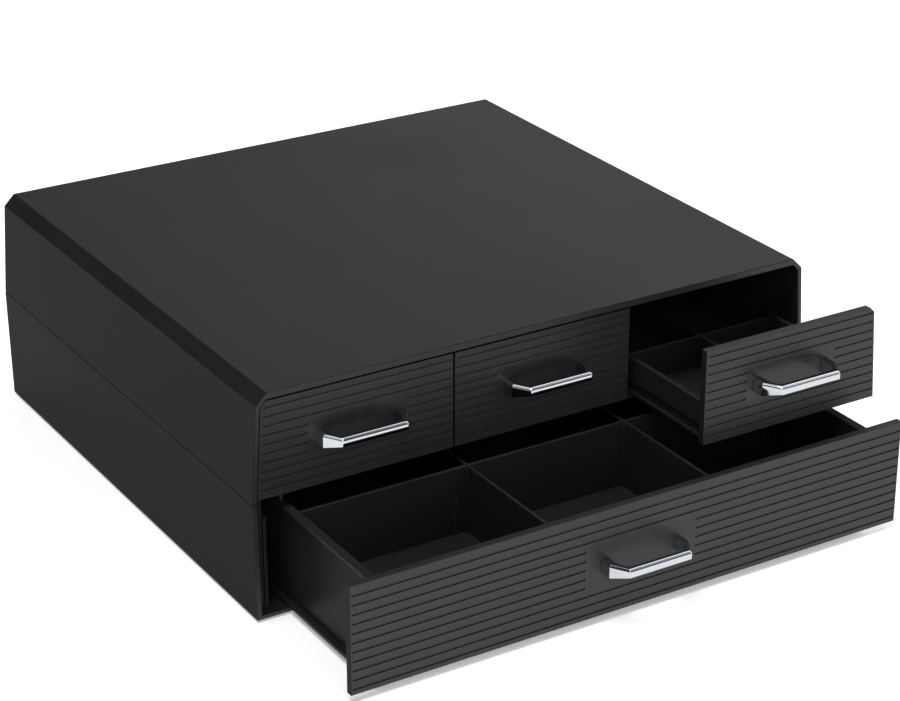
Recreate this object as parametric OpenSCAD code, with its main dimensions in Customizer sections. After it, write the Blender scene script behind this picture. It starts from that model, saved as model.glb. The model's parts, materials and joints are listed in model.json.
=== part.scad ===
// Desktop storage case for coffee pods: one wide drawer below, three small drawers above.
// Millimetres. X runs to the right, Y to the back, Z up; the front of the case faces -Y.
// The origin is the middle of the underside of the case. Only the rubber feet reach below it.

/* [Case] */
// Width of the case at the joint line between its halves, its widest level
case_w = 360; // [350:1:372]
// Depth of the case, front rim to back wall
case_d = 330; // [310:1:350]
// Height of the case without its feet
case_h = 131; // [129:0.5:135]
// Height of the joint line above the underside
seam_h = 68.4; // [68.2:0.1:68.8]
// Wall thickness of both case halves
wall = 2.8; // [2.4:0.1:3]
// Thickness of the top plate
top_t = 4; // [3.5:0.1:4.5]
// Thickness of the case floor
floor_t = 2.2; // [2:0.1:2.6]
// Size of the sloped corners along the top edges
edge_chamfer = 6.6; // [5:0.1:8]
// How far each side leans in above the joint line
taper_up = 3.6; // [3:0.1:4]
// How far each side leans in below the joint line
taper_down = 0.8; // [0.4:0.1:1]
// How far the rubber feet stand out of the underside
foot_out = 1.5; // [1:0.1:2.2]

/* [Drawers] */
// Distance the wide drawer stands open
wide_out = 95; // [0:1:210]
// Distance the right small drawer stands open
right_out = 69; // [0:1:195]
// Thickness of the drawer fronts
front_t = 4.2; // [3.8:0.1:4.6]
// Groove spacing on the wide front
wide_pitch = 5.35; // [5.2:0.05:5.4]
// Groove spacing on the small fronts
small_pitch = 5.2; // [5:0.05:5.3]
// Groove width
groove_w = 1.2; // [0.8:0.1:1.4]
// Groove depth
groove_d = 0.6; // [0.5:0.1:1.2]
// Thickness of the loose dividers
divider_t = 2; // [1.6:0.1:2.4]

/* [Handles] */
// Length of a handle over its two posts
handle_len = 52; // [48:1:56]
// Distance the grip stands off the front
handle_reach = 18.3; // [16:0.1:20]
// Height of a post
post_h = 8; // [7:0.1:9]
// Height of the grip
grip_h = 4.8; // [4:0.1:6]

/* [Hidden] */
$fn = 48;

black = "#2d2d2f";
black_inner = "#222224";
chrome = "#d8dadd";
steel = "#9a9da1";
rubber = "#161617";

// Case section, heights above the underside of the case.
front_y = -case_d / 2;
back_y = case_d / 2;
shoulder_x = case_w / 2 - taper_up;
shoulder_h = case_h - edge_chamfer;
corner_sum = shoulder_x + shoulder_h;
ceiling_h = case_h - top_t;

// The deck lies in a step cut into both halves at the joint line.
deck_h = 67.6;
deck_t = 2.2;
deck_top = deck_h + deck_t;
step_x = case_w / 2 - wall / 2;
step_y = back_y - wall / 2;
deck_gap = 0.1;

// Screw posts in the channels beside the wide drawer.
post_x = case_w / 2 - 14.4;
post_ys = [front_y + 40, 0, back_y - 40];
post_d = 9;
post_top = 57.6;
screw_d = 2.7;
screw_pilot_d = 2.8;
screw_clear_d = 3.4;
screw_head_d = 5.8;
screw_head_h = 2.2;
screw_well_d = 6.4;
screw_seat_h = 42;
screw_grip = 23;

// Snap tabs that hold the upper half down on the lower half.
tab_t = 1.6;
tab_len = 16;
tab_x = case_w / 2 - 5.6;
tab_low = 61.4;
tab_high = 74;
side_tab_ys = [-62, 62];
back_tab_xs = [-90, 90];
barb = 1;
barb_h = 2.4;
tab_gap = 0.4;

// Drawer bays. The two partitions split the upper half into three.
partition_x = 57.3;
partition_t = 2;
partition_front = front_y + 7.5;
shoe_h = 4;
shoe_t = 1.2;

// Fronts, closed position. They sit a little behind the rim of the case.
face_y = front_y + 0.8;
tray_y = face_y + front_t;
// What a closed front stops against lies just behind it.
stop_y = tray_y + 0.1;
wide_front_x = case_w / 2 - 4.2;
wide_front_low = 3.1;
wide_front_high = 65.6;
small_front_low = 70.3;
small_front_high = case_h - 5.1;
small_front_in = 57.9;
middle_front_x = 56.7;
front_inset = wall + 0.7;
groove_end = 1.2;
wide_groove_low = 6.5;
wide_grooves = 11;
small_groove_low = 75.7;
small_grooves = 10;

// Plain pads round the handles, free of grooves.
wide_pad = [70.8, 27.6];
small_pad = [60, 20.4];
wide_handle_h = 33.5;
small_handle_h = 99;

// Wide tray: one wall with a lip along its top and its bottom, and a raised floor.
wide_tray_x = case_w / 2 - 19.6;
wide_tray_back = back_y - 11;
wide_rim_h = 61;
wide_skirt_low = floor_t + 0.1;
tray_wall = 1.8;
lip_w = 3.5;
lip_t = 2;
rim_w = lip_w + tray_wall;
wide_inner_x = wide_tray_x - rim_w;
wide_inner_back = wide_tray_back - rim_w;
wide_floor_top = 20;
wide_floor_t = 2;
tray_front_wall = 2;
wide_travel = case_d - 115;
wide_tab_front = wide_tray_back - 3;
wide_tab_xs = [92, 108];
wide_stop_t = 3;
wide_stop_y = wide_tab_front - wide_travel - 0.3;

// Small trays: straight boxes with a thick upper band and a flange at the floor.
small_tray_x = 53.4;
small_tray_back = back_y - 15;
small_tray_low = deck_top + 0.1;
small_floor_top = small_tray_low + 2;
small_rim_h = 92;
band_low = 78;
band_t = 3.2;
side_tray_x = case_w / 2 - 64.25;
small_centres = [-side_tray_x, 0, side_tray_x];
peg_y = small_tray_back - 12;
peg_d = 5;
peg_head_d = 9;
peg_head_h = 1.6;
slot_w = 6;
slot_past = 6;
small_travel = case_d - 130;
guide_t = 2.2;
guide_h = 4;
guide_gap = 0.6;

// Dividers. The slots of the lap joints are half the height of the plates.
wide_divider_x = 51.7;
divider_gap = 0.15;
wide_divider_top = 60;
wide_cross_ys = [face_y + 90.6, face_y + 202.2];
cross_bead_xs = [-59, 143];
cross_bead_w = 1.2;
cross_bead_out = 0.6;
cross_bead_top = 42;
small_divider_top = 91;
small_cross_y = face_y + 82;
lap_slot = divider_t + 0.3;
locator = 1.6;
locator_off = divider_t / 2 + 0.2 + locator / 2;

// Pegs on the back of each front, pressed through the front wall of the tray.
peg_r = 2;
peg_fit = 0.05;
wide_peg_xs = [-130, -70, 70, 130];
wide_peg_hs = [12, 50];
small_peg_xs = [-40, 40];
small_peg_h = 82;

// Handles, seen from above: square posts, slanted arms and a straight grip.
post_out = 8;
post_w = 4.8;
grip_t = 3.8;
arm_in = 6.3;
bevel = 1.2;

// Handle screws.
handle_screw_x = handle_len / 2 - 2.6;
handle_screw_r = 1.45;
handle_bore_r = 1.5;
handle_bore_len = 5;
handle_hole_r = 1.7;
handle_head_r = 2.8;
handle_head_h = 2;

// Rails beside the wide drawer.
rail_out = case_w / 2 - 3.8;
rail_in = rail_out - 4;
rail_rib_out = rail_in - 0.8;
rail_rib_in = rail_rib_out - 1.8;
rail_fin_in = wide_tray_x + 0.7;
rail_back = back_y - 15;
rail_strip_h = 57;
fin_front = stop_y + 60;
fin_hs = [floor_t, 56.2];
fin_t = 2;

// Feet.
foot_d = 18;
foot_t = 2.5;
foot_in = 22;

// ---- Placing and drawing helpers ----

// Pulls a closed drawer piece forward.
module pulled(out) { translate([0, -out, 0]) children(); }

// Extrudes an XZ outline from y0 to y1.
module along_y(y0, y1) { translate([0, y1, 0]) rotate([90, 0, 0]) linear_extrude(y1 - y0) children(); }

// Extrudes a YZ outline from x0 to x1.
module along_x(x0, x1) { translate([x0, 0, 0]) rotate([90, 0, 90]) linear_extrude(x1 - x0) children(); }

// A box between two corners.
module block(low, high) { translate(low) cube(high - low); }

// A rod along Y from y0 to y1.
module rod_y(x, y0, y1, z, r) { translate([x, y1, z]) rotate([90, 0, 0]) cylinder(r = r, h = y1 - y0); }

module both_sides() { children(); mirror([1, 0, 0]) children(); }

// ---- Case ----

// Half width of the outside of the case at a height.
function side_x(h) = h >= seam_h
    ? case_w / 2 - taper_up * (h - seam_h) / (shoulder_h - seam_h)
    : case_w / 2 - taper_down * (seam_h - h) / seam_h;

function mirrored(half) = concat(half, [for (i = [len(half) - 1 : -1 : 0]) [-half[i][0], half[i][1]]]);

// Section of the upper half, drawn in by s at the sides and t at the top, from height low up.
function upper_outline(s, t, low) = let (sum = corner_sum - s * sqrt(2)) mirrored([
    [side_x(low) - s, low],
    [shoulder_x - s, sum - shoulder_x + s],
    [sum - case_h + t, case_h - t]
]);

function lower_outline(s, low, high) = mirrored([[side_x(low) - s, low], [side_x(high) - s, high]]);

module side_tabs() {
    outer = tab_x + tab_t;
    for (y = side_tab_ys) both_sides() {
        low_y = y - tab_len / 2;
        high_y = y + tab_len / 2;
        block([tab_x, low_y, tab_low], [outer, high_y, tab_high]);
        block([tab_x, low_y, deck_top + tab_gap], [side_x(tab_high) - wall / 2, high_y, tab_high]);
        along_y(low_y, high_y)
            polygon([[outer, tab_low], [outer + barb, tab_low + barb_h], [outer, tab_low + barb_h]]);
    }
}

module back_tabs() {
    inner = back_y - wall;
    outer = inner - barb;
    for (x = back_tab_xs) {
        low_x = x - tab_len / 2;
        high_x = x + tab_len / 2;
        block([low_x, outer - tab_t, tab_low], [high_x, outer, tab_high]);
        block([low_x, outer - tab_t, deck_top + tab_gap], [high_x, inner + 0.5, tab_high]);
        along_x(low_x, high_x)
            polygon([[outer, tab_low], [inner - 0.1, tab_low + barb_h], [outer, tab_low + barb_h]]);
    }
}

// Pairs of ribs that hold the top edge of each partition.
module ceiling_shoes() {
    both_sides() for (side = [-1, 1])
        translate([partition_x + side * (partition_t / 2 + 0.1 + shoe_t / 2), 0, ceiling_h])
            block([-shoe_t / 2, partition_front, -shoe_h], [shoe_t / 2, back_y - wall, 0.5]);
}

module upper_case() color(black) {
    difference() {
        along_y(front_y, back_y) polygon(upper_outline(0, 0, seam_h));
        along_y(front_y - 1, back_y - wall) polygon(upper_outline(wall, top_t, seam_h - 0.01));
        block([-step_x, stop_y - deck_gap, seam_h - 1], [step_x, step_y, deck_top]);
    }
    side_tabs();
    back_tabs();
    ceiling_shoes();
}

// Ledges on the lower walls that the barbs of the tabs catch under.
module catch_ledges() {
    low = tab_low + barb_h + tab_gap;
    for (y = side_tab_ys) both_sides()
        block([tab_x + tab_t + 0.2, y - tab_len / 2, low],
              [side_x(low) - wall / 2, y + tab_len / 2, low + 2]);
    for (x = back_tab_xs)
        block([x - tab_len / 2, back_y - wall - 0.8, low],
              [x + tab_len / 2, back_y - wall / 2, low + 2]);
}

module at_posts() { for (y = post_ys) both_sides() translate([post_x, y, 0]) children(); }

module at_feet() {
    for (y = [front_y + foot_in, back_y - foot_in])
        both_sides() translate([case_w / 2 - foot_in, y, 0]) children();
}

module lower_case() color(black) difference() {
    union() {
        difference() {
            along_y(front_y, back_y) polygon(lower_outline(0, 0, seam_h));
            along_y(front_y - 1, back_y - wall) polygon(lower_outline(wall, floor_t, seam_h + 0.01));
            block([-step_x, stop_y - deck_gap, deck_h], [step_x, step_y, seam_h + 1]);
        }
        at_posts() translate([0, 0, floor_t - 1]) cylinder(d = post_d, h = post_top - floor_t + 1);
        catch_ledges();
    }
    at_posts() translate([0, 0, -1]) cylinder(d = screw_clear_d, h = case_h);
    at_posts() translate([0, 0, -1]) cylinder(d = screw_well_d, h = screw_seat_h + 1);
    at_feet() translate([0, 0, -1]) cylinder(d = foot_d + 0.4, h = foot_t - foot_out + 1);
}

module feet() color(rubber) at_feet() translate([0, 0, -foot_out]) rotate_extrude()
    polygon([[0, 0], [foot_d / 2 - 0.6, 0], [foot_d / 2, 0.6], [foot_d / 2, foot_t], [0, foot_t]]);

module case_screws() color(steel) at_posts() {
    translate([0, 0, screw_seat_h - screw_head_h]) difference() {
        cylinder(d = screw_head_d, h = screw_head_h);
        for (a = [0, 90]) rotate(a) block([-1.7, -0.4, -1], [1.7, 0.4, 1]);
    }
    translate([0, 0, screw_seat_h]) cylinder(d = screw_d, h = screw_grip);
}

// ---- Deck ----

// A low rib on the deck that guides the side of a small tray.
module guide_rib(x0, x1) { block([x0, stop_y, deck_top - 0.5], [x1, step_y - 3, deck_top + guide_h]); }

module guide_ribs() both_sides() {
    reach = small_tray_x + guide_gap;
    beside = partition_t / 2 + 0.1;
    guide_rib(reach, partition_x - beside);
    guide_rib(partition_x + beside, side_tray_x - reach);
    guide_rib(side_tray_x + reach, side_tray_x + reach + guide_t);
}

module stop_slots() {
    for (x = small_centres) {
        eye_y = peg_y + peg_head_d / 2 + slot_past;
        block([x - slot_w / 2, peg_y - small_travel - peg_d / 2 - 0.2, deck_h - 1],
              [x + slot_w / 2, eye_y, deck_top + 1]);
        // Wide end, through which the head of the peg drops in from above.
        translate([x, eye_y, deck_h - 1]) cylinder(d = peg_head_d + 1, h = deck_t + 2);
    }
}

// Notches round the snap tabs where they pass the edges of the deck.
module tab_notches() {
    half = tab_len / 2 + tab_gap;
    for (y = side_tab_ys) both_sides()
        block([tab_x - tab_gap, y - half, deck_h - 1], [step_x + 1, y + half, deck_top + 1]);
    for (x = back_tab_xs)
        block([x - half, back_y - wall - barb - tab_t - tab_gap, deck_h - 1],
              [x + half, step_y + 1, deck_top + 1]);
}

module deck() color(black_inner) difference() {
    union() {
        block([-step_x + deck_gap, stop_y, deck_h], [step_x - deck_gap, step_y - deck_gap, deck_top]);
        at_posts() translate([0, 0, post_top]) cylinder(d = post_d, h = deck_h - post_top + 0.5);
        guide_ribs();
        // Ribs that keep the rim of the wide tray from tipping up.
        both_sides() block([wide_tray_x - 3.5, stop_y + 4, wide_rim_h + 0.5],
                           [wide_tray_x - 1.5, rail_back, deck_h + 0.5]);
        // Stops for the tabs at the back of the wide tray.
        both_sides() block([wide_tab_xs[0] - 2, wide_stop_y - wide_stop_t, wide_rim_h + 2],
                           [wide_tab_xs[1] + 2, wide_stop_y, deck_h + 0.5]);
    }
    stop_slots();
    tab_notches();
    at_posts() translate([0, 0, post_top - 1])
        cylinder(d = screw_pilot_d, h = screw_seat_h + screw_grip + 0.4 - post_top + 1);
}

module partition(x) color(black_inner)
    block([x - partition_t / 2, partition_front, deck_top],
          [x + partition_t / 2, back_y - wall - 1, ceiling_h]);

// ---- Rails ----

// An upright strip in the channel beside the wide drawer. Its level fins guide the tray.
module rail() color(black_inner) difference() {
    union() {
        block([rail_in, stop_y, floor_t], [rail_out, rail_back, deck_h]);
        block([rail_rib_in, stop_y, floor_t], [rail_rib_out, rail_back, rail_strip_h]);
        block([rail_rib_in, stop_y, floor_t], [rail_in + 0.5, rail_back, floor_t + fin_t]);
        for (h = fin_hs) block([rail_fin_in, fin_front, h], [rail_in + 0.5, rail_back, h + fin_t]);
    }
    for (y = post_ys) translate([post_x, y, -1]) cylinder(d = post_d + 0.8, h = case_h);
    for (y = side_tab_ys)
        block([rail_fin_in, y - tab_len / 2 - 1, tab_low - 1],
              [rail_out + 1, y + tab_len / 2 + 1, case_h]);
}

// ---- Drawer fronts ----

// Rows of grooves across a panel from x0 to x1, broken by the pad round the handle.
module groove_rows(x0, x1, pad_x, pad_h, pad, low, pitch, count) {
    for (i = [0 : count - 1]) {
        h = low + i * pitch;
        broken = abs(h - pad_h) < pad[1] / 2;
        if (broken) {
            groove(x0 + groove_end, pad_x - pad[0] / 2, h);
            groove(pad_x + pad[0] / 2, x1 - groove_end, h);
        } else {
            groove(x0 + groove_end, x1 - groove_end, h);
        }
    }
}

module groove(x0, x1, h) {
    block([x0, face_y - 1, h - groove_w / 2], [x1, face_y + groove_d, h + groove_w / 2]);
}

module handle_holes(x, h) {
    for (side = [-1, 1]) rod_y(x + side * handle_screw_x, face_y - 1, tray_y + 10, h, handle_hole_r);
}

module wide_front() color(black) pulled(wide_out) {
    difference() {
        block([-wide_front_x, face_y, wide_front_low], [wide_front_x, tray_y, wide_front_high]);
        groove_rows(-wide_front_x, wide_front_x, 0, wide_handle_h, wide_pad,
                    wide_groove_low, wide_pitch, wide_grooves);
        handle_holes(0, wide_handle_h);
    }
    for (x = wide_peg_xs, h = wide_peg_hs) rod_y(x, tray_y - 1, tray_y + tray_front_wall, h, peg_r);
}

// The opening of the upper case seen from the front, drawn in by an inset.
module small_front_outline(inset)
    polygon(upper_outline(inset, case_h - small_front_high, small_front_low));

// A small front between x0 and x1; its outer edge follows the lean and the corner of the case.
module small_front(x0, x1, centre, out) color(black) pulled(out) {
    difference() {
        intersection() {
            along_y(face_y, tray_y) small_front_outline(front_inset);
            block([x0, face_y - 1, small_front_low], [x1, tray_y + 1, case_h]);
        }
        intersection() {
            groove_rows(x0, x1, centre, small_handle_h, small_pad,
                        small_groove_low, small_pitch, small_grooves);
            along_y(face_y - 1, tray_y) small_front_outline(front_inset + groove_end);
        }
        handle_holes(centre, small_handle_h);
    }
    for (x = small_peg_xs)
        rod_y(centre + x, tray_y - 1, tray_y + tray_front_wall, small_peg_h, peg_r);
}

// ---- Trays ----

module wide_tray() color(black_inner) pulled(wide_out) difference() {
    side = wide_tray_x - lip_w;
    union() {
        difference() {
            union() {
                block([-side, tray_y, wide_skirt_low], [side, wide_tray_back - lip_w, wide_rim_h]);
                for (h = [wide_skirt_low, wide_rim_h - lip_t])
                    block([-wide_tray_x, tray_y, h], [wide_tray_x, wide_tray_back, h + lip_t]);
            }
            block([-wide_inner_x, tray_y + tray_front_wall, -1],
                  [wide_inner_x, wide_inner_back, wide_floor_top - wide_floor_t]);
            block([-wide_inner_x, tray_y + tray_front_wall, wide_floor_top],
                  [wide_inner_x, wide_inner_back, wide_rim_h + 1]);
        }
        wide_tray_locators();
        wide_stop_tabs();
    }
    handle_holes(0, wide_handle_h);
    for (x = wide_peg_xs, h = wide_peg_hs)
        rod_y(x, tray_y - 1, tray_y + tray_front_wall + 1, h, peg_r + peg_fit);
}

// Upright ribs that hold the ends of the dividers and cross walls.
module wide_tray_locators() {
    high = wide_divider_top - 1;
    for (y = wide_cross_ys, side = [-1, 1]) both_sides()
        translate([0, y + side * locator_off, 0])
            block([wide_inner_x - locator, -locator / 2, wide_floor_top - 0.5],
                  [wide_inner_x + 0.5, locator / 2, high]);
    for (x = [-wide_divider_x, wide_divider_x], side = [-1, 1])
        translate([x + side * locator_off, 0, 0]) {
            block([-locator / 2, tray_y + 0.5, wide_floor_top - 0.5],
                  [locator / 2, tray_y + tray_front_wall + locator, high]);
            block([-locator / 2, wide_inner_back - locator, wide_floor_top - 0.5],
                  [locator / 2, wide_inner_back + 0.5, high]);
        }
}

// Upright tabs on the back rim that meet the stops under the deck.
module wide_stop_tabs() {
    both_sides() block([wide_tab_xs[0], wide_tab_front, wide_rim_h - 1],
                       [wide_tab_xs[1], wide_tray_back - 0.8, wide_rim_h + 4]);
}

module small_tray(centre, out) color(black_inner) pulled(out) translate([centre, 0, 0]) difference() {
    peg_low = deck_h - 0.3 - peg_head_h;
    inner_x = small_tray_x - band_t;
    inner_y = small_tray_back - band_t;
    union() {
        difference() {
            block([-small_tray_x, tray_y, small_tray_low],
                  [small_tray_x, small_tray_back, small_rim_h]);
            // Recess round the outside, between the floor flange and the upper band.
            difference() {
                block([-small_tray_x - 1, tray_y + tray_front_wall + 2, small_floor_top],
                      [small_tray_x + 1, small_tray_back + 1, band_low]);
                block([-inner_x - tray_wall, tray_y, 0],
                      [inner_x + tray_wall, inner_y + tray_wall, case_h]);
            }
            block([-inner_x, tray_y + tray_front_wall, small_floor_top], [inner_x, inner_y, case_h]);
        }
        small_tray_locators();
        // Peg that runs in the slot of the deck, with a head below it.
        translate([0, peg_y, peg_low]) {
            cylinder(d = peg_head_d, h = peg_head_h);
            cylinder(d = peg_d, h = small_tray_low - peg_low + 0.5);
        }
    }
    for (x = small_peg_xs)
        rod_y(x, tray_y - 1, tray_y + tray_front_wall + 1, small_peg_h, peg_r + peg_fit);
}

module small_tray_locators() {
    high = small_divider_top - 1;
    inner_x = small_tray_x - band_t;
    for (side = [-1, 1]) {
        both_sides() translate([0, small_cross_y + side * locator_off, 0])
            block([inner_x - locator, -locator / 2, small_floor_top - 0.5],
                  [inner_x + 0.5, locator / 2, high]);
        translate([side * locator_off, 0, 0]) {
            block([-locator / 2, tray_y + 0.5, small_floor_top - 0.5],
                  [locator / 2, tray_y + tray_front_wall + locator, high]);
            block([-locator / 2, small_tray_back - band_t - locator, small_floor_top - 0.5],
                  [locator / 2, small_tray_back - band_t + 0.5, high]);
        }
    }
}

// ---- Dividers ----

// A plate that runs front to back, slotted from above where cross walls pass.
module divider(x, y0, y1, low, high, crossings) {
    middle = (low + high) / 2;
    difference() {
        union() {
            block([x - divider_t / 2, y0, low], [x + divider_t / 2, y1, high]);
            // Ribs on both faces that steady the cross walls.
            for (y = crossings, side = [-1, 1]) translate([x, y + side * locator_off, 0])
                block([-divider_t / 2 - locator, -locator / 2, low],
                      [divider_t / 2 + locator, locator / 2, high - 1]);
        }
        for (y = crossings)
            block([x - divider_t, y - lap_slot / 2, middle],
                  [x + divider_t, y + lap_slot / 2, high + 1]);
    }
}

// A plate that runs across, slotted from below where dividers pass.
module cross_wall(y, x0, x1, low, high, crossings) {
    middle = (low + high) / 2;
    difference() {
        block([x0, y - divider_t / 2, low], [x1, y + divider_t / 2, high]);
        for (x = crossings)
            block([x - lap_slot / 2, y - divider_t, low - 1],
                  [x + lap_slot / 2, y + divider_t, middle]);
    }
}

module wide_divider(x) color(black_inner) pulled(wide_out)
    divider(x, tray_y + tray_front_wall + divider_gap, wide_inner_back - divider_gap,
            wide_floor_top, wide_divider_top, wide_cross_ys);

module wide_cross(i) color(black_inner) pulled(wide_out) {
    end = wide_inner_x - divider_gap;
    cross_wall(wide_cross_ys[i], -end, end, wide_floor_top, wide_divider_top,
               [-wide_divider_x, wide_divider_x]);
    // Thin upright beads on the lower half of the front face.
    for (x = cross_bead_xs)
        block([x - cross_bead_w / 2, wide_cross_ys[i] - divider_t / 2 - cross_bead_out, wide_floor_top],
              [x + cross_bead_w / 2, wide_cross_ys[i], cross_bead_top]);
}

module small_divider(centre, out) color(black_inner) pulled(out)
    divider(centre, tray_y + tray_front_wall + divider_gap, small_tray_back - band_t - divider_gap,
            small_floor_top, small_divider_top, [small_cross_y]);

module small_cross(centre, out) color(black_inner) pulled(out)
    cross_wall(small_cross_y, centre - small_tray_x + band_t + divider_gap,
               centre + small_tray_x - band_t - divider_gap,
               small_floor_top, small_divider_top, [centre]);

// ---- Handles ----

// Outlines from above with the front at y = 0.
handle_plan = mirrored([
    [handle_len / 2, 0],
    [handle_len / 2, -post_out],
    [handle_len / 2 - arm_in, -handle_reach]
]);
handle_gap = mirrored([
    [handle_len / 2 - post_w, 1],
    [handle_len / 2 - post_w, -post_out - 1.2],
    [handle_len / 2 - arm_in - 2.2, -handle_reach + grip_t]
]);

// Cuts the sharp top edge off the outline between two plan points.
module top_bevel(p, q) {
    run = q - p;
    side = bevel * sqrt(2);
    translate([p[0], p[1], post_h / 2]) rotate(atan2(run[1], run[0]))
        translate([-4, 0, 0]) rotate([45, 0, 0]) translate([0, -side / 2, -side / 2])
            cube([norm(run) + 8, side, side]);
}

module handle_body() difference() {
    intersection() {
        translate([0, 0, -post_h / 2]) linear_extrude(post_h) difference() {
            polygon(handle_plan);
            polygon(handle_gap);
        }
        // Side view: full height at the posts, slimmer from below towards the grip.
        along_x(-handle_len, handle_len) polygon([
            [1, -post_h / 2], [1, post_h / 2], [-handle_reach - 1, post_h / 2],
            [-handle_reach - 1, post_h / 2 - grip_h], [-handle_reach, post_h / 2 - grip_h],
            [-post_out, -post_h / 2]
        ]);
    }
    for (i = [0 : 4]) top_bevel(handle_plan[i], handle_plan[i + 1]);
    for (side = [-1, 1]) rod_y(side * handle_screw_x, -handle_bore_len, 1, 0, handle_bore_r);
}

module handle(x, h, out) color(chrome) pulled(out) translate([x, face_y, h]) handle_body();

// Pan-head screws from inside the drawer; head_y is the face that the heads bear on.
module handle_screws(x, h, head_y, out) color(steel) pulled(out) for (side = [-1, 1]) {
    rod_y(x + side * handle_screw_x, face_y - handle_bore_len + 0.3, head_y, h, handle_screw_r);
    difference() {
        rod_y(x + side * handle_screw_x, head_y, head_y + handle_head_h, h, handle_head_r);
        for (a = [0, 90])
            translate([x + side * handle_screw_x, head_y + handle_head_h, h]) rotate([0, a, 0])
                block([-1.6, -0.8, -0.35], [1.6, 1, 0.35]);
    }
}

lower_case();
upper_case();
deck();
partition(-partition_x);  // partition_left
partition(partition_x);  // partition_right
mirror([1, 0, 0]) rail();  // rail_left
rail();  // rail_right
case_screws();
feet();

wide_front();
wide_tray();
wide_divider(-wide_divider_x);  // wide_divider_left
wide_divider(wide_divider_x);  // wide_divider_right
wide_cross(0);  // wide_cross_front
wide_cross(1);  // wide_cross_rear
handle(0, wide_handle_h, wide_out);  // wide_handle
handle_screws(0, wide_handle_h, tray_y + tray_front_wall, wide_out);  // wide_handle_screws

small_front(-case_w / 2, -small_front_in, -side_tray_x, 0);  // left_front
small_tray(-side_tray_x, 0);  // left_tray
small_divider(-side_tray_x, 0);  // left_divider
small_cross(-side_tray_x, 0);  // left_cross
handle(-side_tray_x, small_handle_h, 0);  // left_handle
handle_screws(-side_tray_x, small_handle_h, tray_y, 0);  // left_handle_screws

small_front(-middle_front_x, middle_front_x, 0, 0);  // middle_front
small_tray(0, 0);  // middle_tray
small_divider(0, 0);  // middle_divider
small_cross(0, 0);  // middle_cross
handle(0, small_handle_h, 0);  // middle_handle
handle_screws(0, small_handle_h, tray_y, 0);  // middle_handle_screws

small_front(small_front_in, case_w / 2, side_tray_x, right_out);  // right_front
small_tray(side_tray_x, right_out);  // right_tray
small_divider(side_tray_x, right_out);  // right_divider
small_cross(side_tray_x, right_out);  // right_cross
handle(side_tray_x, small_handle_h, right_out);  // right_handle
handle_screws(side_tray_x, small_handle_h, tray_y, right_out);  // right_handle_screws
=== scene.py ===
import json
import math

import bmesh
import bpy
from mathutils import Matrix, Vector


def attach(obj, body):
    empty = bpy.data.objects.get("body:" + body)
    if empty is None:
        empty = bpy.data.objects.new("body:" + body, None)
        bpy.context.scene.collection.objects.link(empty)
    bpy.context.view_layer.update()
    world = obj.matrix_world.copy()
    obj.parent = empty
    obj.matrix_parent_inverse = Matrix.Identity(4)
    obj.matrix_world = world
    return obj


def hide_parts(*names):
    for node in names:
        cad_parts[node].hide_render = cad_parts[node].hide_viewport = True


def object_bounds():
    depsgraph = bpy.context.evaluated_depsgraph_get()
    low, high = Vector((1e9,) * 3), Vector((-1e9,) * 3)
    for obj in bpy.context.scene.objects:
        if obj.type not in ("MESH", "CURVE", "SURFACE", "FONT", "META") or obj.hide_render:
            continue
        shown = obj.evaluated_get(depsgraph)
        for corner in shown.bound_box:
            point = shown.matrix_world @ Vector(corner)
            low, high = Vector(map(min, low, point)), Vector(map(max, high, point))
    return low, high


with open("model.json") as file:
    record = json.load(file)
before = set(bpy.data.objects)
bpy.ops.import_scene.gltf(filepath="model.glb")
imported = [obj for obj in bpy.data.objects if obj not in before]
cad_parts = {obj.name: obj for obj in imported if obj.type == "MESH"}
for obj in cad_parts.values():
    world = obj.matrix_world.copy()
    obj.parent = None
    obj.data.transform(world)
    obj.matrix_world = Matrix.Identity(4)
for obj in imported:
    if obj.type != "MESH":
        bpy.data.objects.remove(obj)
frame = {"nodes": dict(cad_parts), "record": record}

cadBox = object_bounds()
mm = 0.001      # the frame is in metres
nodes = frame["nodes"]
bodies = frame["record"]["behaviour"]["bodies"]
bodyOf = {name: body for body, members in bodies.items() for name in members}


# colour and node helpers

def linearColour(hexCode):
    channels = [int(hexCode[i:i + 2], 16) / 255 for i in (1, 3, 5)]
    return [c / 12.92 if c <= 0.04045 else ((c + 0.055) / 1.055) ** 2.4 for c in channels] + [1.0]


def addNode(tree, kind, settings=None, links=None):
    node = tree.nodes.new(kind)
    for key, value in (settings or {}).items():
        if isinstance(key, int) or key in node.inputs:
            node.inputs[key].default_value = value
        else:
            setattr(node, key, value)
    for key, socket in (links or {}).items():
        tree.links.new(socket, node.inputs[key])
    return node


def newMaterial(name):
    material = bpy.data.materials.new(name)
    material.use_nodes = True
    material.node_tree.nodes.clear()
    return material, material.node_tree


def addRamp(tree, source, stops):
    ramp = addNode(tree, "ShaderNodeValToRGB", links={"Fac": source})
    for element, (position, colour) in zip(ramp.color_ramp.elements, stops):
        element.position = position
        element.color = linearColour(colour)
    return ramp


# Black ABS, injection moulded in a spark-eroded cavity. It gives the eye a satin black with a very
# fine even grain, smoother on the rounded edges, where hands and the drawers rub it.
mouldedAbs = {
    "colour": "#1e1e1f", "colourLight": "#222223", "ior": 1.5, "specular": 0.035,
    "roughLow": 0.42, "roughHigh": 0.48,
    "rubbedOff": 0.12,      # roughness that rubbing takes away
    "grain": 0.9 * mm,      # the real grain is about 0.1 mm, drawn coarser so that it shows
    "pits": 1.125 * mm,     # the pits in it, drawn as coarse
    "pitShare": 0.4,
    "grainHeight": 0.012 * mm,
    "flow": 90 * mm,        # broad, faint changes of gloss left by the flow of the melt
}


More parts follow.
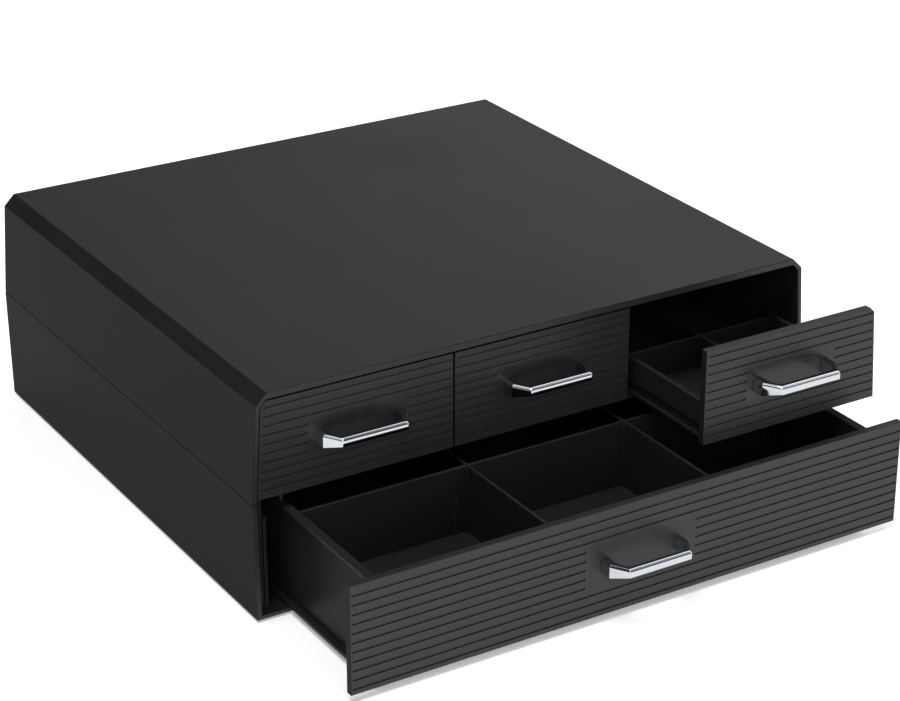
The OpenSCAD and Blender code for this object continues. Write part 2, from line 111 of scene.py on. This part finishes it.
def makePlastic(name, look, rubbed=False):
    material, tree = newMaterial(name)
    place = addNode(tree, "ShaderNodeTexCoord").outputs["Object"]
    flow = addNode(tree, "ShaderNodeTexNoise",
                   {"Scale": 1 / look["flow"], "Detail": 3.0, "Roughness": 0.5}, {"Vector": place})
    grain = addNode(tree, "ShaderNodeTexNoise",
                    {"Scale": 1 / look["grain"], "Detail": 2.0, "Roughness": 0.6}, {"Vector": place})
    pits = addNode(tree, "ShaderNodeTexVoronoi",
                   {"Scale": 1 / look["pits"], "feature": "SMOOTH_F1", "Smoothness": 0.6},
                   {"Vector": place})
    relief = addNode(tree, "ShaderNodeMix", {"data_type": "FLOAT", 0: look["pitShare"]},
                     {2: grain.outputs["Fac"], 3: pits.outputs["Distance"]})
    bump = addNode(tree, "ShaderNodeBump", {"Strength": 1.0, "Distance": look["grainHeight"]},
                   {"Height": relief.outputs[0]})
    colour = addRamp(tree, flow.outputs["Fac"], [(0.25, look["colour"]), (0.8, look["colourLight"])])
    drop = look["rubbedOff"] if rubbed else 0.0
    gloss = addNode(tree, "ShaderNodeMapRange",
                    {"From Min": 0.3, "From Max": 0.7, "To Min": look["roughLow"] - drop,
                     "To Max": look["roughHigh"] - drop}, {"Value": flow.outputs["Fac"]})
    shader = addNode(tree, "ShaderNodeBsdfPrincipled",
                     {"IOR": look["ior"], "Specular IOR Level": look["specular"]},
                     {"Base Color": colour.outputs["Color"], "Roughness": gloss.outputs["Result"],
                      "Normal": bump.outputs["Normal"]})
    addNode(tree, "ShaderNodeOutputMaterial", links={"Surface": shader.outputs["BSDF"]})
    return material


# Bright chrome plate on die-cast zinc. It mirrors the room, with a very faint ripple.
chromePlate = {"colour": "#bfc1c5", "roughLow": 0.035, "roughHigh": 0.075, "ripple": 6 * mm,
               "rippleHeight": 0.004 * mm}


def makeChrome(name, look):
    material, tree = newMaterial(name)
    place = addNode(tree, "ShaderNodeTexCoord").outputs["Object"]
    ripple = addNode(tree, "ShaderNodeTexNoise", {"Scale": 1 / look["ripple"], "Detail": 1.0},
                     {"Vector": place})
    bump = addNode(tree, "ShaderNodeBump", {"Strength": 1.0, "Distance": look["rippleHeight"]},
                   {"Height": ripple.outputs["Fac"]})
    gloss = addNode(tree, "ShaderNodeMapRange",
                    {"From Min": 0.35, "From Max": 0.65, "To Min": look["roughLow"],
                     "To Max": look["roughHigh"]}, {"Value": ripple.outputs["Fac"]})
    shader = addNode(tree, "ShaderNodeBsdfPrincipled",
                     {"Base Color": linearColour(look["colour"]), "Metallic": 1.0},
                     {"Roughness": gloss.outputs["Result"], "Normal": bump.outputs["Normal"]})
    addNode(tree, "ShaderNodeOutputMaterial", links={"Surface": shader.outputs["BSDF"]})
    return material


# Zinc-plated steel screws: pale grey metal, dulled a little.
zincSteel = {"colour": "#a9adb2", "colourDull": "#8d9196", "metallic": 1.0, "rough": 0.34,
             "grain": 1.2 * mm, "grainHeight": 0.02 * mm}
# Moulded SBR rubber feet: dull black, slightly dusty.
feetRubber = {"colour": "#161617", "colourDull": "#1e1e1f", "metallic": 0.0, "rough": 0.78,
              "grain": 0.7 * mm, "grainHeight": 0.02 * mm}


def makePlain(name, look):
    material, tree = newMaterial(name)
    place = addNode(tree, "ShaderNodeTexCoord").outputs["Object"]
    grain = addNode(tree, "ShaderNodeTexNoise", {"Scale": 1 / look["grain"], "Detail": 3.0},
                    {"Vector": place})
    colour = addRamp(tree, grain.outputs["Fac"], [(0.35, look["colour"]), (0.65, look["colourDull"])])
    bump = addNode(tree, "ShaderNodeBump", {"Strength": 0.6, "Distance": look["grainHeight"]},
                   {"Height": grain.outputs["Fac"]})
    shader = addNode(tree, "ShaderNodeBsdfPrincipled",
                     {"Metallic": look["metallic"], "Roughness": look["rough"]},
                     {"Base Color": colour.outputs["Color"], "Normal": bump.outputs["Normal"]})
    addNode(tree, "ShaderNodeOutputMaterial", links={"Surface": shader.outputs["BSDF"]})
    return material


# Faces that look forward get a lighter, far shinier copy of the case plastic: painted light and painted
# reflection, chosen by which way a face looks. On the fronts' rounded edges that reflection is turned
# down again, painted shade.
frontPaintedLightLook = dict(mouldedAbs, colour="#262628", colourLight="#2a2a2c", specular=0.31,
                 roughLow=0.36, roughHigh=0.42)
frontEdgePaintedLightAndShadeLook = dict(frontPaintedLightLook, specular=0.06)
# The pads behind the small handles are polished in the mould, so they mirror a little of what is near;
# they keep the fronts' painted light.
padPaintedLightLook = dict(frontPaintedLightLook, roughLow=0.27, roughHigh=0.31)
# The case's upright walls get a copy of its plastic with a lighter colour and a weaker reflection than
# the top: painted light and shade, chosen by which way a face looks.
wallPaintedLightAndShadeLook = dict(mouldedAbs, colour="#2a2a2b", colourLight="#2e2e2f", specular=0.01)
# The inner parts are smoother than the case. Their rounded edges get a far stronger reflection, a painted
# highlight, and their floors almost none, painted shade.
innerLook = dict(mouldedAbs, colour="#202022", colourLight="#242426", specular=0.04,
                 roughLow=0.34, roughHigh=0.40)
innerEdgePaintedHighlightLook = dict(innerLook, specular=0.5)
floorPaintedShadeLook = dict(innerLook, specular=0.004)

caseAbs = makePlastic("mouldedAbsCase", mouldedAbs)
wallPaintedLightAndShadeAbs = makePlastic("mouldedAbsWallPaintedLightAndShade", wallPaintedLightAndShadeLook)
caseAbsRubbed = makePlastic("mouldedAbsCaseEdge", mouldedAbs, rubbed=True)
frontPaintedLightAbs = makePlastic("mouldedAbsFrontPaintedLight", frontPaintedLightLook)
frontAbsRubbedPaintedLightAndShade = makePlastic("mouldedAbsFrontEdgeRubbedPaintedLightAndShade", frontEdgePaintedLightAndShadeLook, rubbed=True)
padPaintedLightAbs = makePlastic("polishedAbsPadPaintedLight", padPaintedLightLook)
innerAbs = makePlastic("mouldedAbsInner", innerLook)
innerAbsRubbedPaintedHighlight = makePlastic("mouldedAbsInnerEdgePaintedHighlight", innerEdgePaintedHighlightLook, rubbed=True)
floorPaintedShadeAbs = makePlastic("mouldedAbsTrayFloorPaintedShade", floorPaintedShadeLook)
inner = [innerAbs, innerAbsRubbedPaintedHighlight, floorPaintedShadeAbs]
chrome = makeChrome("brightChromePlate", chromePlate)
steel = makePlain("zincPlatedSteel", zincSteel)
rubber = makePlain("mouldedRubber", feetRubber)
print("materials made")


# Every piece starts as a copy of its node's mesh, made whole, with its sharp edges rounded.

samePlane = math.radians(0.4)       # faces that differ by less lie in one plane
samePoint = 0.0005 * mm     # points nearer than this are merged
sameCut = 0.0001 * mm       # a cut this near to a point goes through it
samePlace = 0.05        # in mm, as places on a piece are
mostly = 0.9            # from this share of its normal along an axis, a face looks that way
hardly = 0.3            # below this share it doesn't


def near(place, other):
    return abs(place - other) < samePlace


def flatRegions(mesh):
    # Groups of faces that lie in one plane and touch.
    seen = set()
    for start in mesh.faces:
        if start in seen:
            continue
        region, queue = [], [start]
        seen.add(start)
        while queue:
            face = queue.pop()
            region.append(face)
            for edge in face.edges:
                for other in edge.link_faces:
                    if other not in seen and other.normal.angle(start.normal, 1) < samePlane:
                        seen.add(other)
                        queue.append(other)
        yield region


def rimLoops(region):
    # The edges round a flat region, one group for its outline and one for each hole.
    inRegion = set(region)
    rim = {edge for face in region for edge in face.edges
           if sum(other in inRegion for other in edge.link_faces) == 1}
    loops = []
    while rim:
        queue, loop = [rim.pop()], []
        while queue:
            edge = queue.pop()
            loop.append(edge)
            for vert in edge.verts:
                for other in vert.link_edges:
                    if other in rim:
                        rim.remove(other)
                        queue.append(other)
        loops.append(loop)
    return loops


def sliceFaces(mesh, faces, axis, place):
    # Cuts the faces where they cross a place on an axis.
    point, normal = Vector((0, 0, 0)), Vector((0, 0, 0))
    point[axis], normal[axis] = place, 1
    geom = set(faces) | {e for f in faces for e in f.edges} | {v for f in faces for v in f.verts}
    return bmesh.ops.bisect_plane(mesh, geom=list(geom), dist=sameCut, plane_co=point, plane_no=normal)


def cutThroughHoles(mesh):
    # A flat face with holes can't be one clean polygon, so it is split through the middle of each hole.
    plans = []
    for region in flatRegions(mesh):
        loops = rimLoops(region)
        if len(loops) < 2:
            continue
        normal = region[0].normal
        axes = [i for i in range(3) if abs(normal[i]) < mostly][:2]
        boxes = []
        for loop in loops:
            points = [v.co for edge in loop for v in edge.verts]
            boxes.append([(min(p[i] for p in points), max(p[i] for p in points)) for i in range(3)])
        boxes.sort(key=lambda b: -sum(high - low for low, high in b))
        middles = {i: sorted({round((b[i][0] + b[i][1]) / 2, 5) for b in boxes[1:]}) for i in axes}
        axis = min(axes, key=lambda i: len(middles[i]))
        plans.append((region, axis, middles[axis]))
    for region, axis, places in plans:
        pieces = set(region)
        for place in places:
            cut = sliceFaces(mesh, [f for f in pieces if f.is_valid], axis, place)
            pieces = {g for g in cut["geom"] if isinstance(g, bmesh.types.BMFace)}
            for g in cut["geom_cut"]:
                if isinstance(g, bmesh.types.BMEdge):
                    g.seam = True


def cleanCopy(node):
    # A node's mesh with its loose triangles joined and its flat faces made whole.
    mesh = bmesh.new()
    mesh.from_mesh(nodes[node].data)
    bmesh.ops.remove_doubles(mesh, verts=mesh.verts, dist=samePoint)
    mesh.normal_update()
    for edge in mesh.edges:
        edge.seam = False
    cutThroughHoles(mesh)
    bmesh.ops.dissolve_limit(mesh, angle_limit=samePlane, use_dissolve_boundaries=False,
                             verts=mesh.verts, edges=mesh.edges, delimit={"SEAM"})
    mesh.normal_update()
    return mesh


def limits(mesh):
    low = Vector([min(v.co[i] for v in mesh.verts) for i in range(3)]) / mm
    high = Vector([max(v.co[i] for v in mesh.verts) for i in range(3)]) / mm
    return low, high


def frontFaces(mesh, frontY):
    return [f for f in mesh.faces
            if f.normal.y < -mostly and f.calc_center_median().y / mm < frontY + samePlace]


def weighEdges(mesh, full, rounding=None, sharpFrom=28):
    # An edge sharper than sharpFrom degrees is rounded, by the full radius where no rule is given.
    layers = mesh.edges.layers.float
    layer = layers.get("bevel_weight_edge") or layers.new("bevel_weight_edge")
    for edge in mesh.edges:
        edge.smooth = True
        if len(edge.link_faces) == 2 and edge.calc_face_angle(0) > math.radians(sharpFrom):
            middle = (edge.verts[0].co + edge.verts[1].co) / 2 / mm
            edge[layer] = rounding(edge, middle) / full if rounding else 1.0


def finishPiece(mesh, name, node, materials, radius, segments=2):
    data = bpy.data.meshes.new(name)
    mesh.to_mesh(data)
    mesh.free()
    for extra in ("custom_normal", "sharp_face"):
        if extra in data.attributes:
            data.attributes.remove(data.attributes[extra])
    data.shade_smooth()
    piece = bpy.data.objects.new(name, data)
    bpy.context.scene.collection.objects.link(piece)
    for material in materials:
        data.materials.append(material)
    bevel = piece.modifiers.new("edges", "BEVEL")
    bevel.limit_method = "WEIGHT"
    bevel.width = radius * mm
    bevel.segments = segments
    bevel.profile = 0.5
    bevel.harden_normals = True
    bevel.use_clamp_overlap = True
    bevel.miter_outer = "MITER_ARC"
    if len(materials) > 1:
        bevel.material = 1      # the second material is the one for rounded edges
    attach(piece, bodyOf[node])
    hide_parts(node)


# The halves of the case: a soft outer edge, a finer one on the front rim, a small one at the joint line.
caseForm = {
    "outer": 1.1, "front": 0.66, "joint": 0.25, "inner": 0.3, "segments": 3,
    "jointHeight": 68.4,
    "gap": 0.5,         # the joint line shows as a fine dark gap
    "corner": 8,        # the sloped corners lie within this of the top
    "wall": 5,          # and the edges of the side walls within this of the ends
    "square": 80,       # degrees from which an edge of the front rim counts as square
}


def caseHalf(node, name):
    mesh = cleanCopy(node)
    low, high = limits(mesh)

    def rounding(edge, middle):
        onFront = near(middle.y, low.y)
        onWall = min(abs(middle.x - low.x), abs(middle.x - high.x)) < caseForm["wall"]
        if near(middle.z, caseForm["jointHeight"]):
            return caseForm["joint"]
        if onFront and not onWall and edge.calc_face_angle(0) > math.radians(caseForm["square"]):
            return caseForm["front"]
        if near(middle.y, high.y) or near(middle.z, 0) or middle.z > high.z - caseForm["corner"]:
            return caseForm["outer"]
        return caseForm["front"] if onFront else caseForm["inner"]

    weighEdges(mesh, caseForm["outer"], rounding)
    # Half of the gap is in each half of the case.
    way = 1 if node == "upper_case" else -1
    for vert in mesh.verts:
        if near(vert.co.z / mm, caseForm["jointHeight"]):
            vert.co.z += way * caseForm["gap"] / 2 * mm
    materials = [caseAbs, caseAbsRubbed, frontPaintedLightAbs, wallPaintedLightAndShadeAbs]
    # Faces of the front rim get the fronts' painted-light copy.
    frontRim = set(frontFaces(mesh, low.y))
    # Upright faces get the walls' painted light and shade copy; tops and bottoms keep the case plastic.
    for face in mesh.faces:
        if face in frontRim:
            face.material_index = materials.index(frontPaintedLightAbs)
        elif abs(face.normal.z) < hardly:
            face.material_index = materials.index(wallPaintedLightAndShadeAbs)
    finishPiece(mesh, name, node, materials, caseForm["outer"], caseForm["segments"])


caseHalf("upper_case", "upperHalf")
caseHalf("lower_case", "lowerHalf")


# The parts with one rounding all over.
roundings = {"plate": 0.3, "partition": 0.35, "tray": 0.35, "caseScrew": 0.2, "handleScrew": 0.15,
             "foot": 0.25}
floorArea = 300 * mm * mm       # a larger flat face that looks up is a floor


def plainPart(node, name, materials, radius):
    mesh = cleanCopy(node)
    # Large faces that look up get the painted-shade copy, which hardly reflects.
    if floorPaintedShadeAbs in materials:
        for face in mesh.faces:
            if face.normal.z > mostly and face.calc_area() > floorArea:
                face.material_index = materials.index(floorPaintedShadeAbs)
    weighEdges(mesh, radius)
    finishPiece(mesh, name, node, materials, radius)


plainPart("deck", "deckPlate", inner, roundings["plate"])
for side in ("left", "right"):
    plainPart("partition_" + side, side + "Partition", inner, roundings["partition"])
    plainPart("rail_" + side, side + "Rail", inner, roundings["plate"])
plainPart("case_screws", "caseScrews", [steel], roundings["caseScrew"])
plainPart("feet", "rubberFeet", [rubber], roundings["foot"])
print("case done")


# Drawer fronts: the outline is softer than the grooves. Each handle stands over a plain pad, and the
# face is cut along the pad's borders, so that the pad can have a finish of its own.
frontForm = {
    "outline": 0.7, "groove": 0.35, "segments": 3,
    "rim": 1.5,         # the outline's edges lie within this of the front's border and face
}
widePad = {"across": 70.8, "up": 27.6, "polished": False}
smallPad = {"across": 60.0, "up": 20.4, "polished": True}


def middleOf(node, axis):
    places = [v.co[axis] for v in nodes[node].data.vertices]
    return (min(places) + max(places)) / 2 / mm


def drawerFront(drawer, pad):
    mesh = cleanCopy(drawer + "_front")
    low, high = limits(mesh)
    padX, padZ = middleOf(drawer + "_handle", 0), middleOf(drawer + "_handle", 2)
    for axis, middle, size in ((0, padX, pad["across"]), (2, padZ, pad["up"])):
        for place in (middle - size / 2, middle + size / 2):
            sliceFaces(mesh, frontFaces(mesh, low.y), axis, place * mm)
    materials = [frontPaintedLightAbs, frontAbsRubbedPaintedLightAndShade, padPaintedLightAbs, caseAbs]
    # Faces that look forward get the painted-light copy, the others the plain case plastic.
    for face in mesh.faces:
        face.material_index = materials.index(frontPaintedLightAbs if face.normal.y < -mostly else caseAbs)
    for face in frontFaces(mesh, low.y):
        middle = face.calc_center_median() / mm
        inPad = abs(middle.x - padX) < pad["across"] / 2 and abs(middle.z - padZ) < pad["up"] / 2
        if inPad and pad["polished"]:
            face.material_index = materials.index(padPaintedLightAbs)

    def rounding(edge, middle):
        rim = frontForm["rim"]
        inside = low.x + rim < middle.x < high.x - rim and low.z + rim < middle.z < high.z - rim
        onOutline = middle.y < low.y + rim and not inside
        return frontForm["outline"] if onOutline else frontForm["groove"]

    weighEdges(mesh, frontForm["outline"], rounding)
    finishPiece(mesh, drawer + "Front", drawer + "_front", materials,
                frontForm["outline"], frontForm["segments"])


# The handles are die castings. The front of the grip swells a little, most a bit below its middle.
handleForm = {
    "radius": 0.4, "segments": 4, "sharpFrom": 12,
    "camber": 0.12,     # how fast the front falls back from its crown
    "crown": 0.42,      # how far up the grip is at its fullest
    "rows": 6,
}


def handle(node, name):
    mesh = cleanCopy(node)
    low = limits(mesh)[0]
    heights = [v.co.z for f in frontFaces(mesh, low.y) for v in f.verts]
    bottom, tall = min(heights), max(heights) - min(heights)
    for row in range(1, handleForm["rows"]):
        forward = [f for f in mesh.faces if f.normal.y < -hardly]
        sliceFaces(mesh, forward, 2, bottom + tall * row / handleForm["rows"])
    for vert in mesh.verts:
        if vert.co.y / mm < low.y + samePlace:
            up = (vert.co.z - bottom) / tall - handleForm["crown"]
            vert.co.y += handleForm["camber"] * tall * up * up
    mesh.normal_update()
    weighEdges(mesh, handleForm["radius"], sharpFrom=handleForm["sharpFrom"])
    finishPiece(mesh, name, node, [chrome], handleForm["radius"], handleForm["segments"])


drawers = {"wide": ["wide_cross_front", "wide_cross_rear", "wide_divider_left", "wide_divider_right"]}
for drawer in ("left", "middle", "right"):
    drawers[drawer] = [drawer + "_cross", drawer + "_divider"]

for drawer, plates in drawers.items():
    drawerFront(drawer, widePad if drawer == "wide" else smallPad)
    plainPart(drawer + "_tray", drawer + "Tray", inner, roundings["tray"])
    for plate in plates:
        first, *others = plate.split("_")
        plateName = first + "".join(word.capitalize() for word in others)
        plainPart(plate, plateName, inner, roundings["plate"])
    handle(drawer + "_handle", drawer + "Handle")
    plainPart(drawer + "_handle_screws", drawer + "HandleScrews", [steel],
              roundings["handleScrew"])
print("drawers done")


# studio: a white floor that keeps the shadow, soft lamps, a room lit from one side

studio = {
    "floorSize": 12.0, "paper": "#f4f4f4",
    "floorLift": 0.3,           # what the floor adds for the camera and for mirror images
    "airDark": 0.05, "airLight": 2.4,
    "lightSide": (0.9, 0.23, 0.37), "lightFrom": 0.42,
}


def makeFloor():
    mesh = bmesh.new()
    bmesh.ops.create_grid(mesh, x_segments=1, y_segments=1, size=studio["floorSize"] / 2)
    bmesh.ops.translate(mesh, verts=mesh.verts, vec=(0, 0, cadBox[0][2]))
    data = bpy.data.meshes.new("studioFloor")
    mesh.to_mesh(data)
    mesh.free()
    floor = bpy.data.objects.new("studioFloor", data)
    bpy.context.scene.collection.objects.link(floor)
    material, tree = newMaterial("paintedPaper")
    rays = addNode(tree, "ShaderNodeLightPath")
    seen = addNode(tree, "ShaderNodeMath", {"operation": "MAXIMUM"},
                   {0: rays.outputs["Is Camera Ray"], 1: rays.outputs["Is Glossy Ray"]})
    seen = addNode(tree, "ShaderNodeMath", {"operation": "MAXIMUM"},
                   {0: seen.outputs[0], 1: rays.outputs["Is Transmission Ray"]})
    lift = addNode(tree, "ShaderNodeMath", {"operation": "MULTIPLY", 1: studio["floorLift"]},
                   {0: seen.outputs[0]})
    shader = addNode(tree, "ShaderNodeBsdfPrincipled",
                     {"Base Color": linearColour(studio["paper"]), "Roughness": 0.9,
                      "Specular IOR Level": 0.1, "Emission Color": [1.0, 1.0, 1.0, 1.0]},
                     {"Emission Strength": lift.outputs[0]})
    addNode(tree, "ShaderNodeOutputMaterial", links={"Surface": shader.outputs["BSDF"]})
    data.materials.append(material)


def makeWorld():
    world = bpy.data.worlds.new("studioAir")
    bpy.context.scene.world = world
    world.use_nodes = True
    tree = world.node_tree
    tree.nodes.clear()
    # The room is lighter on the side of the windows.
    way = addNode(tree, "ShaderNodeTexCoord").outputs["Generated"]
    side = addNode(tree, "ShaderNodeVectorMath", {"operation": "DOT_PRODUCT", 1: studio["lightSide"]},
                   {0: way})
    level = addNode(tree, "ShaderNodeMapRange",
                    {"interpolation_type": "SMOOTHSTEP", "From Min": studio["lightFrom"], "From Max": 1.0,
                     "To Min": studio["airDark"], "To Max": studio["airLight"]},
                    {"Value": side.outputs["Value"]})
    background = addNode(tree, "ShaderNodeBackground", {"Color": [1.0, 1.0, 1.0, 1.0]},
                         {"Strength": level.outputs["Result"]})
    addNode(tree, "ShaderNodeOutputWorld", links={"Surface": background.outputs["Background"]})


lamps = {
    "overLeft": {"at": (-0.9, -0.6, 3.2), "to": (0, -0.15, 0.05), "size": 1.4, "power": 72},
    "backLeft": {"at": (-1.5, 0.4, 2.6), "to": (0, -0.2, 0.05), "size": 1.3, "power": 5},
    "frontFill": {"at": (-0.5, -2.6, 1.1), "to": (0, -0.2, 0.05), "size": 2.0, "power": 28},
}


def makeLamps():
    for name, lamp in lamps.items():
        data = bpy.data.lights.new(name, "AREA")
        data.shape = "SQUARE"
        data.size = lamp["size"]
        data.energy = lamp["power"]
        light = bpy.data.objects.new(name, data)
        bpy.context.scene.collection.objects.link(light)
        light.location = lamp["at"]
        way = Vector(lamp["to"]) - Vector(lamp["at"])
        light.rotation_euler = way.to_track_quat("-Z", "Y").to_euler()


view = {
    "at": (-0.69549, -1.20156, 0.68398), "azimuth": -31.5, "elevation": 24.56,
    "lensPixels": 2528.7, "imagePixels": 900, "sensor": 36, "farthest": 50,
}


def makeCamera():
    data = bpy.data.cameras.new("photoCamera")
    data.sensor_width = view["sensor"]
    data.lens = view["lensPixels"] * view["sensor"] / view["imagePixels"]
    data.clip_end = view["farthest"]
    camera = bpy.data.objects.new("photoCamera", data)
    bpy.context.scene.collection.objects.link(camera)
    camera.location = view["at"]
    camera.rotation_mode = "XYZ"
    camera.rotation_euler = (math.radians(90 - view["elevation"]), 0, math.radians(view["azimuth"]))
    bpy.context.scene.camera = camera


makeFloor()
makeWorld()
makeLamps()
makeCamera()
bpy.context.scene.view_settings.view_transform = "Standard"
print("studio done")
